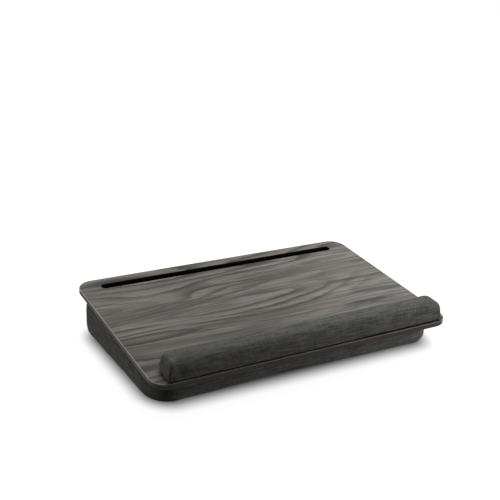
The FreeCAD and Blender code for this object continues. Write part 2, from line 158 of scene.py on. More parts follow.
def spread(tree, value, low, high, to_low=0.0, to_high=1.0):
    """A value taken from one span to another, smoothly and without going past it."""
    values = {0: value, 1: low, 2: high, 3: to_low, 4: to_high}
    return add(tree, "ShaderNodeMapRange", {"interpolation_type": "SMOOTHSTEP"}, values).outputs[0]


def blend(tree, share, first, second):
    """A colour between two others."""
    return add(tree, "ShaderNodeMix", {"data_type": "RGBA"}, {0: share, 6: first, 7: second}).outputs[2]


def paint(tree, shader, colour, roughness=None):
    """Gives the shader its colour, and its roughness where that varies."""
    tree.links.new(colour, shader.inputs["Base Color"])
    if roughness is not None:
        tree.links.new(roughness, shader.inputs["Roughness"])


def raise_surface(tree, shader, height, distance, strength=1.0):
    """Fine relief, as deep as the distance in metres."""
    bump = add(tree, "ShaderNodeBump", None, {"Height": height, "Distance": distance, "Strength": strength})
    tree.links.new(bump.outputs[0], shader.inputs["Normal"])


def grey(red, green=None, blue=None):
    """A colour as a screen shows it, from 0 to 255, made linear for the shader."""
    values = [red, red if green is None else green, red if blue is None else blue]
    linear = [v / 255 / 12.92 if v < 10.3 else ((v / 255 + 0.055) / 1.055) ** 2.4 for v in values]
    return (*linear, 1.0)


print("screen grey 128 is", round(grey(128)[0], 4), "in linear light")

# %% [markdown]
# ## The floor and the light
# The picture has a white ground with a soft shadow close to the cushion. More lamp power would whiten the
# ground but would also wash out the tray, so the floor adds light of its own. Only the eye sees it, also
# in a reflection, and it doesn't light the tray.
# That light grows with the distance from the cushion, faster at the ends than in front, so the ground is
# white all round. Near the foot it is weak, so the shadow there is partly the lamps' own and partly painted
# by the shape of this light, darkest where the cushion meets the floor.
# One small soft box with a narrower beam stands at the right, because the front of the tray is lightest
# there.

# %% Floor
FLOOR_REACH = 6.0
FOOT_HALF = (0.2545, 0.143)
FOOT_MIDDLE = (0.0005, 0.0125, 0)
FOOT_CORNER = 0.03
FRONT_SHARE = 0.72
# Distances over which the floor's own light grows, and its strength at the first and at the last
NEAR_GLOW = (-0.005, 0.035, 0.0, 0.95)
FAR_GLOW = (0.03, 0.3, 0.0, 0.2)


def seen_by_eye(tree):
    """One for rays from the eye, also after a reflection, and nought for the rays that light the tray."""
    path = add(tree, "ShaderNodeLightPath").outputs
    mirrored = math_of(tree, "MAXIMUM", path["Is Glossy Ray"], path["Is Transmission Ray"])
    return math_of(tree, "MAXIMUM", path["Is Camera Ray"], mirrored)


def away_from_foot(tree):
    """How far a place on the floor is from the cushion's foot, in metres, counted slower in front."""
    from_middle = vector_of(tree, "ABSOLUTE", vector_of(tree, "SUBTRACT", place_of(tree), FOOT_MIDDLE))
    straight = (FOOT_HALF[0] - FOOT_CORNER, FOOT_HALF[1] - FOOT_CORNER / FRONT_SHARE, 0)
    beyond = vector_of(tree, "MAXIMUM", vector_of(tree, "SUBTRACT", from_middle, straight), (0, 0, 0))
    counted = vector_of(tree, "MULTIPLY", beyond, (1, FRONT_SHARE, 0))
    return math_of(tree, "SUBTRACT", vector_of(tree, "LENGTH", counted), FOOT_CORNER)


floor_mesh = bpy.data.meshes.new("floor")
floor_corners = [(sx * FLOOR_REACH, sy * FLOOR_REACH, 0) for sx, sy in ((-1, -1), (1, -1), (1, 1), (-1, 1))]
floor_mesh.from_pydata(floor_corners, [], [(0, 1, 2, 3)])
floor = bpy.data.objects.new("floor", floor_mesh)
scene.collection.objects.link(floor)
floor_finish, floor_tree, floor_shader = new_finish("white_floor", roughness=0.95, base_color=grey(64))
away = away_from_foot(floor_tree)
# Weak close to the foot and strong further out, this light paints a shadow round the cushion
near_glow = spread(floor_tree, away, *NEAR_GLOW)
far_glow = spread(floor_tree, away, *FAR_GLOW)
own_light = math_of(floor_tree, "ADD", near_glow, far_glow)
shown_light = math_of(floor_tree, "MULTIPLY", seen_by_eye(floor_tree), own_light)
glow = add(floor_tree, "ShaderNodeEmission", None, {"Strength": shown_light})
both = add(floor_tree, "ShaderNodeAddShader", None, {0: floor_shader.outputs[0], 1: glow.outputs[0]})
floor_tree.links.new(both.outputs[0], floor_tree.nodes["Material Output"].inputs["Surface"])
floor_mesh.materials.append(floor_finish)
print("floor is", 2 * FLOOR_REACH, "m wide")

# %% White surroundings
AMBIENT = 0.055
world = bpy.data.worlds.new("studio")
scene.world = world
world.use_nodes = True
sky = world.node_tree.nodes["Background"]
sky.inputs["Color"].default_value = (1, 1, 1, 1)
strength = math_of(world.node_tree, "MULTIPLY", seen_by_eye(world.node_tree), 1 - AMBIENT)
world.node_tree.links.new(math_of(world.node_tree, "ADD", strength, AMBIENT), sky.inputs["Strength"])
scene.view_settings.view_transform = "Standard"
print("ambient light", AMBIENT)

# %% Soft boxes
def soft_box(name, place, aim, size, power, beam=180):
    """A square studio light that looks at a point, with a beam as wide as the angle given."""
    data = bpy.data.lights.new(name, "AREA")
    data.shape = "SQUARE"
    data.size = size
    data.energy = power
    data.spread = math.radians(beam)
    lamp = bpy.data.objects.new(name, data)
    lamp.location = place
    lamp.rotation_euler = (Vector(aim) - Vector(place)).to_track_quat("-Z", "Y").to_euler()
    scene.collection.objects.link(lamp)


soft_box("top_box", place=(0.55, 0.75, 2.1), aim=(0, 0.05, 0.06), size=1.8, power=46)
soft_box("right_box", place=(0.9, -0.6, 0.25), aim=(0.2, -0.15, 0.05), size=0.35, power=2.7, beam=100)
soft_box("back_box", place=(1.2, 0.6, 0.75), aim=(0.1, 0, 0.06), size=0.6, power=7)
soft_box("left_box", place=(-1.9, 0.7, 0.8), aim=(-0.2, 0, 0.05), size=1.0, power=15)

# %% [markdown]
# ## The printed top sheet
# The board is fibreboard between two pressed sheets, with a tape round the edge. Its hard pieces are
# right as they are, so they only get finishes.
# The top sheet is printed with a dark grey wood grain that runs along the tray. An image could be used,
# but a grain made of noise has no edge and no repeat. Its fibres are noises that are stretched along the
# board. Its growth rings are the contour lines of a smooth noise, so they close in long loops, as they do
# on a sawn plank. The coordinates are turned by the tray's tilt first, so the pattern lies in the plane of
# the board.

# %% The board's own axes
TILT = math.radians(6.2)
BOARD_MIDDLE = Vector((0, -0.000486, 0.0715))
BOARD_UP = Vector((0, -math.sin(TILT), math.cos(TILT)))
BOARD_HALF_DEPTH = 0.175


def on_board(u, v, w):
    """The place of a point given along, across and above the middle of the board's top."""
    y = BOARD_MIDDLE.y + v * math.cos(TILT) - w * math.sin(TILT)
    z = BOARD_MIDDLE.z + v * math.sin(TILT) + w * math.cos(TILT)
    return Vector((u, y, z))


def board_axes(tree):
    """Object coordinates along, across and above the board, from the middle of its top."""
    centred = vector_of(tree, "SUBTRACT", place_of(tree), BOARD_MIDDLE)
    return stretched(tree, centred, (1, 1, 1), turned=(-TILT, 0, 0))


def facing(tree, direction):
    """One where the surface looks straight along a direction, and nought where it looks across it."""
    normal = add(tree, "ShaderNodeTexCoord").outputs["Normal"]
    return vector_of(tree, "DOT_PRODUCT", normal, direction)


def dress(node, finish):
    """Puts a finish on a hard piece that stays as it is."""
    slots = hard[node].material_slots
    if not slots:
        hard[node].data.materials.append(finish)
    for held in slots:
        held.material = finish


print("board's front edge is", round(on_board(0, -BOARD_HALF_DEPTH, 0).z * 1000, 1), "mm above the floor")

# %% Parts of the wood grain
# For each part: waves in a metre along and across, detail, roughness, and where its pattern starts
GRAIN = {
    "drift": ((2.2, 4, 1), 2, 0.55),
    "broad": ((2.2, 17, 1), 4, 0.6, (4.6, 7.9, 0)),
    "streak": ((5, 230, 1), 5, 0.6, (1.3, 0.2, 0)),
    "dash": ((20, 560, 1), 3, 0.6, (0.9, 3.7, 0)),
    "pore": ((50, 1500, 1), 2, 0.55),
    "hill": ((1.5, 11, 1), 1.5, 0.4, (0.4, 7.7, 0)),
    "ringed": ((3, 9, 1), 2, 0.55, (9.6, 4.1, 0)),
    "brown": ((3, 24, 1), 3, 0.55, (4.1, 1.7, 0)),
    "tan": ((7, 44, 1), 3, 0.55, (0.7, 2.3, 0)),
}
SWAY = 0.036
RINGS = 14.0
RAGGED = 0.5
# A strip of painted shade under the front of the wrist rest, so the gap below its hem looks dark
SHADE_STRIP_MIDDLE = (0.002, -0.1615, 0)
SHADE_STRIP_HALF = (0.2535, 0.0115, 0)


def swaying(tree, flat):
    """Coordinates of a grain that wanders slowly from side to side."""
    drift = math_of(tree, "SUBTRACT", streaks(tree, flat, *GRAIN["drift"]), 0.5)
    across = add(tree, "ShaderNodeCombineXYZ", None, {"Y": math_of(tree, "MULTIPLY", drift, SWAY)})
    return vector_of(tree, "ADD", flat, across.outputs[0])


def growth_rings(tree, flat, grain, dash):
    """Contour lines of a smooth hill: each one darkens slowly and ends sharply, and not all are strong."""
    level = in_shares(tree, streaks(tree, grain, *GRAIN["hill"]), RINGS, dash, RAGGED)
    ring = spread(tree, math_of(tree, "FRACT", level), 0.35, 0.97)
    strong = spread(tree, streaks(tree, flat, *GRAIN["ringed"]), 0.4, 0.6, 0.35, 1.0)
    return math_of(tree, "MULTIPLY", ring, strong)


def print_share_outside_shade(tree, flat):
    """Nought at the cut sides and in a strip of painted shade under the front of the wrist rest, and one
    elsewhere.
    """
    from_shade_strip = vector_of(tree, "ABSOLUTE", vector_of(tree, "SUBTRACT", flat, SHADE_STRIP_MIDDLE))
    past = add(tree, "ShaderNodeSeparateXYZ", None,
               {"Vector": vector_of(tree, "SUBTRACT", from_shade_strip, SHADE_STRIP_HALF)}).outputs
    clear = spread(tree, math_of(tree, "MAXIMUM", past["X"], past["Y"]), -0.001, 0.0)
    return math_of(tree, "MULTIPLY", spread(tree, facing(tree, BOARD_UP), 0.5, 0.8), clear)


print("parts of the grain:", list(GRAIN))

# %% Wood grain print
GRAIN_DARK = grey(56, 54, 49)
GRAIN_PALE = grey(122, 119, 113)
BROWN_CAST = grey(99, 92, 84)
TAN_FLECK = grey(118, 98, 80)
RING_EDGE = grey(36, 34, 31)
OPEN_PORE = grey(44, 41, 39)
CUT_SIDE_AND_GAP_SHADE = grey(12, 11, 10)


def wood_print():
    """The top sheet: fibres, brown and tan casts, growth rings and open pores, one over the other."""
    finish, tree, shader = new_finish("wood_grain_print", specular_ior_level=0.18)
    flat = board_axes(tree)
    grain = swaying(tree, flat)
    streak = streaks(tree, grain, *GRAIN["streak"])
    dash = streaks(tree, grain, *GRAIN["dash"])
    pore = streaks(tree, grain, *GRAIN["pore"])
    fine = in_shares(tree, streak, 0.36, dash, 0.22)
    tone = math_of(tree, "MULTIPLY_ADD", streaks(tree, grain, *GRAIN["broad"]), 0.42, fine)
    colour = blend(tree, spread(tree, tone, 0.40, 0.60), GRAIN_DARK, GRAIN_PALE)
    brown = spread(tree, streaks(tree, grain, *GRAIN["brown"]), 0.44, 0.64, 0, 0.6)
    colour = blend(tree, brown, colour, BROWN_CAST)
    tan = spread(tree, streaks(tree, flat, *GRAIN["tan"]), 0.6, 0.74, 0, 0.6)
    colour = blend(tree, tan, colour, TAN_FLECK)
    line = math_of(tree, "MULTIPLY", growth_rings(tree, flat, grain, dash), 0.95)
    colour = blend(tree, line, colour, RING_EDGE)
    colour = blend(tree, spread(tree, pore, 0.56, 0.74, 0, 0.35), colour, OPEN_PORE)
    # The cut sides are black, and the strip under the wrist rest's front is painted shade
    colour = blend(tree, print_share_outside_shade(tree, flat), CUT_SIDE_AND_GAP_SHADE, colour)
    paint(tree, shader, colour, spread(tree, streak, 0.3, 0.7, 0.76, 0.64))
    sunk = math_of(tree, "MULTIPLY", spread(tree, pore, 0.55, 0.75), 0.4)
    raise_surface(tree, shader, math_of(tree, "SUBTRACT", fine, sunk), 0.0002, 0.6)
    return finish


dress("top_laminate", wood_print())

# %% [markdown]
# ## Edge tape and plain sheets
# A dark brown tape is glued round the board, and a paler line along its rounded edges is a painted
# highlight. The pale line could be a separate strip, but it is a painted highlight on the tape's own rounded
# edge, so it is found from the direction in which the surface looks.
# The core in the slot, the backing sheet, the wrist rest's base and its foam tapes differ only in colour,
# in gloss and in how fine their grain is, so one function makes all four finishes.

# %% Edge tape
TAPE_DARK = grey(24, 20, 18)
TAPE_LIGHT = grey(44, 37, 33)
BROWN_EDGE_HIGHLIGHT = grey(126, 108, 94)
PALE_EDGE_HIGHLIGHT = grey(196, 191, 184)


def edge_tape():
    """A dark brown tape with a painted highlight along its upper and lower edges."""
    finish, tree, shader = new_finish("dark_edge_tape", specular_ior_level=0.2)
    flat = board_axes(tree)
    streak = streaks(tree, flat, (14, 14, 900), 4, 0.6)
    colour = blend(tree, spread(tree, streak, 0.34, 0.66), TAPE_DARK, TAPE_LIGHT)
    patchy = spread(tree, noise(tree, flat, 60.0), 0.25, 0.6, 0.6, 1.0)
    upward = facing(tree, BOARD_UP)
    # A patchy painted highlight on the upper edge, and a fainter one on the lower edge
    top_edge_highlight = math_of(tree, "MULTIPLY", spread(tree, upward, 0.42, 0.85), patchy)
    foot_edge_highlight = math_of(tree, "MULTIPLY", spread(tree, upward, -0.45, -0.9), 0.5)
    # The painted highlight is pale grey at the ends and brown along the front and back
    at_end = math_of(tree, "ABSOLUTE", facing(tree, (1, 0, 0)))
    pale = blend(tree, spread(tree, at_end, 0.1, 0.5), BROWN_EDGE_HIGHLIGHT, PALE_EDGE_HIGHLIGHT)
    colour = blend(tree, math_of(tree, "MAXIMUM", top_edge_highlight, foot_edge_highlight), colour, pale)
    paint(tree, shader, colour, spread(tree, streak, 0.3, 0.7, 0.66, 0.48))
    raise_surface(tree, shader, streak, 0.00008, 0.5)
    return finish


dress("edge_band", edge_tape())

# %% Core, backing sheet, base and foam tapes
def pressed_board(name, dark, light, fineness, rough):
    """Pressed fibres, or a plain sheet with a fine pebble."""
    finish, tree, shader = new_finish(name, specular_ior_level=0.05)
    flat = board_axes(tree)
    fibre = noise(tree, stretched(tree, flat, (1, 1.6, 1)), fineness, 5, 0.7)
    mixed = in_shares(tree, noise(tree, flat, 9.0), 0.35, fibre, 0.65)
    colour = blend(tree, spread(tree, mixed, 0.35, 0.65), dark, light)
    paint(tree, shader, colour, spread(tree, fibre, 0.3, 0.7, rough - 0.1, rough + 0.08))
    raise_surface(tree, shader, fibre, 0.00015, 0.6)
    return finish


PLAIN_SHEETS = (
    ("board_core", "slot_black_fibreboard", grey(3, 3, 2), grey(9, 8, 7), 900.0, 0.9),
    ("bottom_laminate", "backing_sheet", grey(34, 33, 32), grey(52, 50, 48), 420.0, 0.6),
    ("wrist_rest_base", "stiff_sheet", grey(22, 22, 23), grey(38, 38, 39), 1300.0, 0.55),
    ("wrist_rest_tapes", "foam_tape", grey(150, 148, 142), grey(196, 194, 188), 2100.0, 0.8),
)
for node, *sheet in PLAIN_SHEETS:
    dress(node, pressed_board(*sheet))
print("plain sheets:", len(PLAIN_SHEETS))

# %% [markdown]
# ## Charcoal cloth
# The wrist rest and the cushion wear the same charcoal cloth: a plain weave of uneven, slightly fuzzy
# yarns, so it looks heathered and streaked along the weft. A picture of cloth could be tiled over it, but
# then the same slubs would come back every few centimetres. The weave follows the cloth and not the room,
# so it is drawn on a flat pattern, in metres, that every soft piece carries as its UV map.
# Stretched noises stand for the yarns of each direction, and a checker lets one pass over the other.

# %% Cloth finish
YARN = 0.0011
CLOTH_DARK = grey(50, 50, 48)
CLOTH_LIGHT = grey(106, 105, 101)
SHADE_BETWEEN_YARNS = grey(26, 26, 25)


def charcoal_cloth():
    """A plain weave with uneven yarns, drawn on the flat pattern."""
    finish, tree, shader = new_finish("charcoal_cloth", roughness=0.95, specular_ior_level=0.08,
                                      sheen_weight=0.08, sheen_roughness=0.55,
                                      sheen_tint=(0.8, 0.8, 0.76, 1))
    cut = add(tree, "ShaderNodeTexCoord").outputs["UV"]
    warp_tone = streaks(tree, cut, (900, 42, 1), 3, 0.6)
    weft_tone = streaks(tree, cut, (42, 900, 1), 3, 0.6, moved=(5, 9, 0))
    over = add(tree, "ShaderNodeTexChecker", None, {"Vector": cut, "Scale": 1 / YARN}).outputs[1]
    warp = waves(tree, cut, "X", YARN)
    weft = waves(tree, cut, "Y", YARN)
    height = add(tree, "ShaderNodeMix", None, {0: over, 2: warp, 3: weft}).outputs[0]
    tone = add(tree, "ShaderNodeMix", None, {0: over, 2: warp_tone, 3: weft_tone}).outputs[0]
    # Thick places in the yarn make streaks along the weft and weaker ones along the warp
    weft_slub = streaks(tree, cut, (26, 270, 1), 4, 0.62, moved=(2, 6, 0))
    warp_slub = streaks(tree, cut, (240, 60, 1), 3, 0.6, moved=(8, 1, 0))
    slub = in_shares(tree, weft_slub, 0.68, warp_slub, 0.32)
    mixed = in_shares(tree, tone, 0.3, slub, 0.7)
    colour = blend(tree, spread(tree, mixed, 0.33, 0.67), CLOTH_DARK, CLOTH_LIGHT)
    # Painted shade darkens the low places between the yarns
    colour = blend(tree, spread(tree, height, 0.0, 0.55, 0.4, 0.0), colour, SHADE_BETWEEN_YARNS)
    paint(tree, shader, colour)
    relief = math_of(tree, "MULTIPLY_ADD", slub, 0.8, math_of(tree, "MULTIPLY_ADD", tone, 0.5, height))
    raise_surface(tree, shader, relief, 0.0003, 0.7)
    return finish


cloth = charcoal_cloth()
print("yarns are", YARN * 1000, "mm apart")

# %% [markdown]
# ## Closed pads from rings
# Both pads have a plan that is a rounded rectangle, drawn in at the foot and at the top. A pad could be
# carved from a box with voxels, but then no edge would run along its seams. Here it is built from rings
# that all have the same number of points, and a flat grid closes each end. Every ring is one turn round
# the plan, so a whole seam is one row of edges. The stations along a side may be closer together where
# the cloth has folds.

# %% Rings and grids
CORNERS = ((1, -1), (1, 1), (-1, 1), (-1, -1))
CORNER_STEPS = 12


def plan_ring(half, radii, stations):
    """Points round a rectangle with its own radius at every corner, starting along its front."""
    points = []
    middles = [Vector((sx * (half[0] - r), sy * (half[1] - r))) for (sx, sy), r in zip(CORNERS, radii)]
    for k, middle in enumerate(middles):
        start = math.radians(90 * k - 90)
        out = Vector((math.cos(start), math.sin(start)))
        first = middles[k - 1] + out * radii[k - 1]
        last = middle + out * radii[k]
        points += [first.lerp(last, s) for s in stations[k % 2][:-1]]
        for step in range(CORNER_STEPS):
            angle = start + math.radians(90) * step / CORNER_STEPS
            points.append(middle + radii[k] * Vector((math.cos(angle), math.sin(angle))))
    return points


def inset_ring(half, radii, deepest, inset, stations, end_inset=None):
    """The same ring drawn in, with corners that shrink to nothing at the deepest inset."""
    smaller = (half[0] - (inset if end_inset is None else end_inset), half[1] - inset)
    return plan_ring(smaller, [r * (1 - inset / deepest) for r in radii], stations)


def plan_grid(half, stations):
    """Points of the flat middle, row by row from the front, and its faces."""
    points = [Vector(((2 * s - 1) * half[0], (2 * t - 1) * half[1]))
              for t in stations[1] for s in stations[0]]
    row = len(stations[0])
    faces = [(j * row + i, j * row + i + 1, (j + 1) * row + i + 1, (j + 1) * row + i)
             for j in range(len(stations[1]) - 1) for i in range(row - 1)]
    return points, faces


print("a ring starts at its front left and has", 4 * CORNER_STEPS, "points in its corners")

# %% A pad and its flat pattern
MERGED = 1e-6


class PadPattern:
    """Collects the rings and grids of one pad, with the flat pattern that its cloth was cut from."""

    def __init__(self):
        self.points = []
        self.faces = []
        self.flat = []

    def add_points(self, points):
        """Adds points and gives their numbers."""
        first = len(self.points)
        self.points.extend(points)
        return list(range(first, len(self.points)))

    def ring_band(self, lower, upper, flat_lower, flat_upper):
        """Faces between two rings of points already added."""
        for k in range(len(lower)):
            after = (k + 1) % len(lower)
            self.faces.append((lower[k], lower[after], upper[after], upper[k]))
            self.flat.append((flat_lower[k], flat_lower[k + 1], flat_upper[k + 1], flat_upper[k]))

    def add_grid(self, plan, faces, lift, upward):
        """A flat end, turned to face up or down."""
        numbers = self.add_points([lift(p) for p in plan])
        for face in faces:
            order = face if upward else face[::-1]
            self.faces.append(tuple(numbers[i] for i in order))
            self.flat.append(tuple(plan[i] for i in order))

    def build(self, name):
        """One closed mesh, with doubles merged and the flat pattern as its UV map."""
        mesh = bpy.data.meshes.new(name)
        mesh.from_pydata(self.points, [], self.faces)
        pattern = mesh.uv_layers.new(name="cut")
        pattern.data.foreach_set("uv", [value for face in self.flat for uv in face for value in uv])
        shape = bmesh.new()
        shape.from_mesh(mesh)
        bmesh.ops.remove_doubles(shape, verts=shape.verts, dist=MERGED)
        bmesh.ops.dissolve_degenerate(shape, edges=shape.edges, dist=MERGED)
        shape.to_mesh(mesh)
        shape.free()
        piece = bpy.data.objects.new(name, mesh)
        scene.collection.objects.link(piece)
        return piece


print("points closer than", MERGED, "m become one")

# %% [markdown]
# ## Cloth that swells
# A filled cover is rounder than its pattern, because the filling pushes its free cloth out. The bulge could
# be drawn by hand, but a short run of Blender's cloth with pressure inside gives it from the shape itself.
# The parts that are glued, sewn or stood on are held, and no point may go further than a small limit, so
# the cover keeps its size.

# %% Cloth that swells
MOMENTS = 20


def points_of(mesh):
    """A mesh's points as rows of numbers."""
    rows = np.empty(len(mesh.vertices) * 3)
    mesh.vertices.foreach_get("co", rows)
    return rows.reshape(-1, 3)


def move_points(piece, rows):
    """Puts rows of numbers back as a piece's points."""
    piece.data.vertices.foreach_set("co", np.asarray(rows).ravel())
    piece.data.update()


def swell(piece, held, pressure, most, slack):
    """Fills a cover: pressure pushes its free cloth out, and no point goes further than the most."""
    before = points_of(piece.data)
    group = piece.vertex_groups.new(name="held")
    for number, weight in enumerate(held):
        if weight > 0:
            group.add([number], float(weight), "REPLACE")
    filling = piece.modifiers.new("filling", "CLOTH")
    filling.settings.vertex_group_mass = "held"
    filling.settings.use_pressure = True
    filling.settings.uniform_pressure_force = pressure
    filling.settings.shrink_min = -slack
    filling.settings.effector_weights.gravity = 0
    filling.settings.bending_stiffness = 1.5
    for moment in range(1, MOMENTS + 1):
        scene.frame_set(moment)
    filled = piece.evaluated_get(bpy.context.evaluated_depsgraph_get())
    moved = points_of(filled.data) - before
    piece.modifiers.remove(filling)
    piece.vertex_groups.remove(group)
    scene.frame_set(1)
    length = np.linalg.norm(moved, axis=1)
    kept = most * np.tanh(length / most) / np.maximum(length, 1e-9)
    print(piece.name, "moved up to", round(float(length.max()) * 1000, 1), "mm before the limit")
    return before + moved * kept[:, None]


def smooth_finish(piece, finish):
    """One subdivision, smooth shading and a finish."""
    piece.data.materials.append(finish)
    piece.data.shade_smooth()
    rounder = piece.modifiers.new("rounder", "SUBSURF")
    rounder.levels = 1
    rounder.render_levels = 1


print("cloth runs for", MOMENTS, "moments")

# %% [markdown]
# ## The wrist rest
# A foam loaf on a stiff base, in a cover that is pulled over it and tucked under. A rounded box would show
# its shape from afar, but not the hem or the folds. Its cloth is one piece, so its pattern runs from the
# top over every side, and the spare cloth is folded at the front corners, which are tighter than the back
# ones.
# The rings start inside the hem, go down round it, up the sides and over the crown. The base sheet stays
# as it is, in a hollow under the pad.

# %% Wrist rest's sizes
WRIST_HALF = (0.256, 0.025)
WRIST_RADII = (0.006, 0.018, 0.018, 0.006)
WRIST_DEEPEST = 0.018
WRIST_MIDDLE = -0.149
HOLLOW_HEIGHT = 0.0029
HOLLOW_INSET = 0.0041
HOLLOW_MIDWAY = 0.011
HEM = 0.0008
HEM_INSET = 0.0034
HEM_ROUND_IN = 0.003
HEM_ROUND_UP = 0.0036
LOW_INSET = 0.0006
LOW_HEIGHT = 0.0085
SIDE_INSET = 0.0008
SIDE_HEIGHT = 0.0125
CROWN_START = 0.0162
CROWN_IN = 0.014
CROWN_UP = 0.015
END_IN = 0.006
TOP_UP = 0.0003
TOP_END_IN = 0.010
# Stations along the front are crowded towards both ends, where the folds are
CROWDED = 0.75
even = np.linspace(0, 1, 120)
WRIST_STATIONS = (even - CROWDED * np.sin(2 * math.pi * even) / (2 * math.pi), np.linspace(0, 1, 5))


def wrist_profile():
    """How far each ring is drawn in, its height above the board, and how far its ends are drawn in."""
    hollow = [(inset, HOLLOW_HEIGHT) for inset in (WRIST_DEEPEST, HOLLOW_MIDWAY, HOLLOW_INSET)]
    hem = [(HOLLOW_INSET, HEM), (HEM_INSET, HEM)]
    rows = [(inset, height, inset) for inset, height in hollow + hem]
    for angle in (0, 30, 60, 90):
        bend = math.radians(angle)
        drawn_in = HEM_ROUND_IN * (1 - math.sin(bend)) + LOW_INSET
        rows.append((drawn_in, HEM + HEM_ROUND_UP * (1 - math.cos(bend)), drawn_in))
    rows.append((LOW_INSET, HEM + LOW_HEIGHT, LOW_INSET))
    rows.append((SIDE_INSET, HEM + SIDE_HEIGHT, SIDE_INSET))
    for angle in (0, 15, 30, 45, 60, 75, 90):
        bend = math.radians(angle)
        round_in = 1 - math.cos(bend)
        rows.append((CROWN_IN * round_in + SIDE_INSET, CROWN_START + CROWN_UP * math.sin(bend),
                     END_IN * round_in + SIDE_INSET))
    return rows + [(WRIST_DEEPEST, CROWN_START + CROWN_UP + TOP_UP, TOP_END_IN)]


profile = wrist_profile()
print("wrist rest:", len(profile), "rings,", round(profile[-1][1] * 1000, 1), "mm high before filling")

# %% Wrist rest, as it is cut
def wrist_lift(height):
    """A function that stands a point of the plan at a height above the board."""
    return lambda p: on_board(p.x, p.y + WRIST_MIDDLE, height)


pad = PadPattern()
rings = []
patterns = []
unrolled = 0.0
for k in range(len(profile) - 1, -1, -1):
    inset, height, end_inset = profile[k]
    if k < len(profile) - 1:
        unrolled += math.hypot(inset - profile[k + 1][0], height - profile[k + 1][1])
    plan = inset_ring(WRIST_HALF, WRIST_RADII, WRIST_DEEPEST, inset, WRIST_STATIONS, end_inset)
    laid = inset_ring(WRIST_HALF, WRIST_RADII, WRIST_DEEPEST, WRIST_DEEPEST - unrolled, WRIST_STATIONS)
    rings.insert(0, pad.add_points([wrist_lift(height)(p) for p in plan]))
    patterns.insert(0, laid + laid[:1])
for lower, upper, flat_lower, flat_upper in zip(rings, rings[1:], patterns, patterns[1:]):
    pad.ring_band(lower, upper, flat_lower, flat_upper)
for row, upward in ((profile[0], False), (profile[-1], True)):
    grid, grid_faces = plan_grid((WRIST_HALF[0] - row[2], WRIST_HALF[1] - row[0]), WRIST_STATIONS)
    pad.add_grid(grid, grid_faces, wrist_lift(row[1]), upward)
wrist_pad = pad.build("wrist_rest_pad")
print("wrist rest has", len(wrist_pad.data.polygons), "faces")

# %% Wrist rest, filled
HELD_HEM = 0.0015
BOARD_ACROSS = np.array((0, math.cos(TILT), math.sin(TILT)))


def board_places(points):
    """How far points are along, across and above the board."""
    centred = points - np.array(BOARD_MIDDLE)
    return points[:, 0].copy(), centred @ BOARD_ACROSS, centred @ np.array(BOARD_UP)


def from_board(u, v, w):
    """The reverse: rows of points from places along, across and above the board."""
    rows = np.array(BOARD_MIDDLE) + v[:, None] * BOARD_ACROSS + w[:, None] * np.array(BOARD_UP)
    rows[:, 0] = u
    return rows


_, _, above = board_places(points_of(wrist_pad.data))
filled = swell(wrist_pad, above < HEM + HELD_HEM, pressure=4.0, most=0.0022, slack=0.003)
print("wrist rest rises", round(float(board_places(filled)[2].max()) * 1000, 1), "mm above the board")

# %% Wrist rest's ends and hem
END_LEANS = ((-1, 0.0035), (1, 0.0014))
LEFT_TUCK = 0.003
RIGHT_FLARE = 0.0085
RIGHT_RISE = 0.0014
HEM_LIFT = 0.0014


def fade(values, low, high):
    """Nought below the low end, one above the high end, and smooth between them."""
    share = np.clip((values - low) / (high - low), 0, 1)
    return share * share * (3 - 2 * share)


u, v, w = board_places(filled)
# The left end leans in towards the top and is tucked in at its hem, and the right one is fuller and
# stands out at the front of its hem
for side, lean in END_LEANS:
    u -= side * lean * fade(side * u, 0.19, 0.25) * fade(w, 0.004, 0.022)
u += LEFT_TUCK * fade(-u, 0.235, 0.252) * (1 - fade(w, 0.001, 0.009))
u += RIGHT_FLARE * fade(u, 0.19, 0.252) * fade(-v, 0.150, 0.172) * (1 - fade(w, 0.001, 0.011))
w += RIGHT_RISE * fade(u, 0.215, 0.248) * fade(w, 0.016, 0.028)
# The hem lifts off the board a little along the right of the front
w += HEM_LIFT * fade(u, 0.0, 0.2) * fade(-v, 0.160, 0.169) * (1 - fade(w, 0.003, 0.010))
print("wrist rest spans", round(float(u.min()) * 1000, 1), "to", round(float(u.max()) * 1000, 1), "mm")

# %% Wrist rest's folds
HOLLOWS = ((-1, 0.0038), (1, 0.0010))
FOLD_PLACE = 0.2462
FOLD_SLANT = 0.10
DIP_DEPTH = 0.0016
DIP_WIDTH = 0.0013
RIDGE_HEIGHT = 0.0008
RIDGE_WIDTH = 0.0020
RIDGE_FROM_DIP = 0.0030
HOLLOW_PLACE = (0.236, 0.0145)
HOLLOW_SIZE = (0.011, 0.0075)
RIPPLE = 0.00035


def bell(distance, width):
    """One at no distance, and nearly nought at two widths away."""
    return np.exp(-(distance / width) ** 2)


# A fold at each front corner: the cloth dips sharply beside it and sinks in further along
on_front = fade(-v, 0.158, 0.169)
for side, sunk in HOLLOWS:
    from_fold = side * u - FOLD_PLACE - FOLD_SLANT * w
    low_down = 1 - fade(w, 0.008, 0.020)
    dip = DIP_DEPTH * bell(from_fold, DIP_WIDTH)
    ridge = RIDGE_HEIGHT * bell(from_fold - RIDGE_FROM_DIP, RIDGE_WIDTH)
    hollow = bell(side * u - HOLLOW_PLACE[0], HOLLOW_SIZE[0]) * bell(w - HOLLOW_PLACE[1], HOLLOW_SIZE[1])
    v += on_front * ((dip - ridge) * low_down + sunk * hollow)
# Slack cloth makes long, very shallow ripples in the front face
ripples = np.sin(u * 61 + 2.0 * np.sin(u * 23)) * np.sin(w * 95 + u * 9)
v -= RIPPLE * ripples * fade(-v, 0.160, 0.170) * fade(w, 0.003, 0.010) * (1 - fade(w, 0.018, 0.028))
move_points(wrist_pad, from_board(u, v, w))
smooth_finish(wrist_pad, cloth)
print("wrist rest's front is", round(float(-v.min()) * 1000, 1), "mm before the middle of the board")

